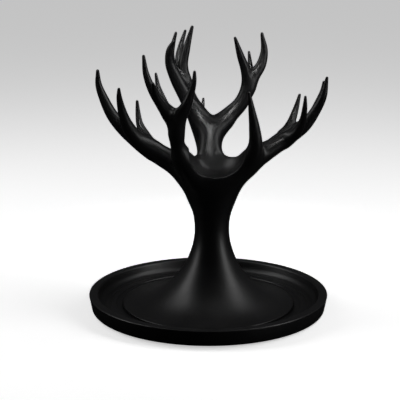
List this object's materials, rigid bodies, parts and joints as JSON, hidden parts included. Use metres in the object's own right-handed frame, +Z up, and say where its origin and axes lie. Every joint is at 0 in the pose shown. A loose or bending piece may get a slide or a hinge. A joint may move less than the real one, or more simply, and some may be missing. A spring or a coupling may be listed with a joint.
{
  "type": "jewelry stand",
  "caption": "Antler-tree jewelry stand: a branching tree with tapering tines on a flared foot, screwed to a shallow round dish with rubber feet.",
  "frame": {"origin": "on the dish's axis at the table surface, under the four rubber feet", "axes": "+Z up along the dish's axis, the pictured front towards -Y, +X to the viewer's right"},
  "size_m": [0.2, 0.2, 0.2324],
  "materials": {
    "stand_black": "cast resin, satin black lacquer",
    "dowel_steel": "ground steel",
    "screw_steel": "zinc-plated steel",
    "insert_brass": "turned brass",
    "foot_rubber": "matte black rubber"
  },
  "bodies": {
    "root": {"dish": "stand_black", "trunk": "stand_black", "left_limb": "stand_black", "front_limb": "stand_black", "right_limb": "stand_black", "rear_left_limb": "stand_black", "rear_right_limb": "stand_black", "back_limb": "stand_black", "left_limb_dowel": "dowel_steel", "front_limb_dowel": "dowel_steel", "right_limb_dowel": "dowel_steel", "rear_left_limb_dowel": "dowel_steel", "rear_right_limb_dowel": "dowel_steel", "back_limb_dowel": "dowel_steel", "locating_pin_left": "dowel_steel", "locating_pin_right": "dowel_steel", "tree_screw": "screw_steel", "screw_washer": "screw_steel", "threaded_insert": "insert_brass", "foot_front_left": "foot_rubber", "foot_front_right": "foot_rubber", "foot_rear_left": "foot_rubber", "foot_rear_right": "foot_rubber"}
  },
  "joints": []
}
